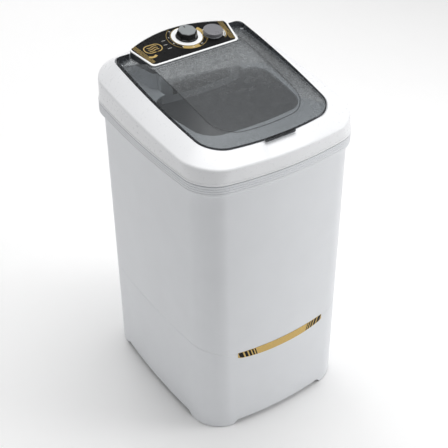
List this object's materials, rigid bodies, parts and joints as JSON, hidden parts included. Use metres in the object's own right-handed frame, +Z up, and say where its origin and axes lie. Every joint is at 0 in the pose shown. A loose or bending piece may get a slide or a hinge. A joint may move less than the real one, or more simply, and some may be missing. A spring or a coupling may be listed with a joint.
{
  "type": "semi-automatic washing machine",
  "caption": "Upright top-loading washer with a moulded cabinet, deep tub and belt-driven floor agitator, a smoked hinged lid, a pull-out lint filter and a tilted dial island",
  "frame": {"origin": "on the floor, under the middle of the machine", "axes": "+X to the right seen from the front, front face towards -Y, +Z up"},
  "size_m": [0.532, 0.627, 1.0314],
  "materials": {
    "white_shell": "injection-moulded polypropylene, satin",
    "tub_shell": "injection-moulded polypropylene, satin",
    "smoked_lid": "smoke-tinted clear styrene, polished",
    "island_grey": "moulded dark grey, fine grain",
    "trim_white": "glossy white moulding",
    "fascia_black": "black printed panel",
    "knob_black": "glossy black moulding",
    "knob_grey": "grey moulding",
    "filter_dark": "moulded dark grey",
    "mesh_nylon": "nylon mesh in a moulded frame",
    "badge_gold": "gold printed film",
    "rubber_black": "moulded rubber",
    "steel": "zinc-plated steel",
    "cast_alloy": "die-cast alloy",
    "copper_wire": "enamelled copper winding",
    "grey_plastic": "moulded grey",
    "bracket_paint": "painted pressed steel"
  },
  "bodies": {
    "machine": {"cabinet": "white_shell", "rubber_feet": "rubber_black", "base_tray": "tub_shell", "base_screws": "steel", "wash_tub": "tub_shell", "top_cover": "white_shell", "cover_screws": "steel", "hinge_pins": "grey_plastic", "island_housing": "island_grey", "island_trim": "trim_white", "island_fascia": "fascia_black", "dial_ring": "trim_white", "timer_case": "tub_shell", "timer_screws": "steel", "softener_cup": "tub_shell", "filter_housing": "white_shell", "shaft_seal": "rubber_black", "bearing_housing": "cast_alloy", "upper_bearing": "steel", "lower_bearing": "steel", "housing_screws": "steel", "drive_belt": "rubber_black", "motor_core": "steel", "motor_windings": "copper_wire", "motor_cap_upper": "cast_alloy", "motor_cap_lower": "cast_alloy", "motor_through_bolts": "steel", "motor_bracket": "bracket_paint", "motor_grommets": "rubber_black", "motor_bolts": "steel", "capacitor": "white_shell", "capacitor_clip": "steel", "drain_strainer": "grey_plastic", "drain_tube": "grey_plastic", "drain_outlet": "grey_plastic", "outlet_nut": "grey_plastic", "cord_gland": "rubber_black", "wiring_loom": "rubber_black", "loom_clips": "grey_plastic", "front_badge": "badge_gold"},
    "lid_body": {"lid": "smoked_lid"},
    "timer": {"timer_knob": "knob_black", "knob_insert": "knob_grey", "timer_spindle": "steel"},
    "softener_lid": {"softener_cap": "knob_grey"},
    "filter": {"filter_cassette": "filter_dark", "filter_mesh": "mesh_nylon"},
    "agitator_drive": {"agitator": "tub_shell", "agitator_screw": "steel", "drive_shaft": "steel", "driven_pulley": "grey_plastic", "pulley_nut": "steel"},
    "rotor": {"motor_pulley": "cast_alloy", "motor_shaft": "steel", "motor_rotor": "steel"}
  },
  "joints": [
    {"name": "lid_hinge", "type": "hinge", "parent": "machine", "child": "lid_body", "pos_m": [0, 0.194, 0.97999], "axis": [-1, 0, 0], "range_deg": [0, 95]},
    {"name": "timer_turn", "type": "hinge", "parent": "machine", "child": "timer", "pos_m": [0.017, 0.20072, 1.00813], "axis": [0, -0.1392, 0.9903], "range_deg": [-300, 0]},
    {"name": "softener_lift", "type": "slide", "parent": "machine", "child": "softener_lid", "axis": [0, -0.1392, 0.9903], "range_m": [0, 0.04]},
    {"name": "filter_pull", "type": "slide", "parent": "machine", "child": "filter", "axis": [0, -1, 0], "range_m": [0, 0.06]},
    {"name": "agitator_spin", "type": "hinge", "parent": "machine", "child": "agitator_drive", "pos_m": [0, -0.02, 0.2], "axis": [0, 0, 1], "continuous": true},
    {"name": "rotor_spin", "type": "hinge", "parent": "machine", "child": "rotor", "pos_m": [0, 0.165, 0.2], "axis": [0, 0, 1], "continuous": true}
  ],
  "couplings": [
    {"joint": "rotor_spin", "follows": "agitator_spin", "ratio": 4.31}
  ]
}
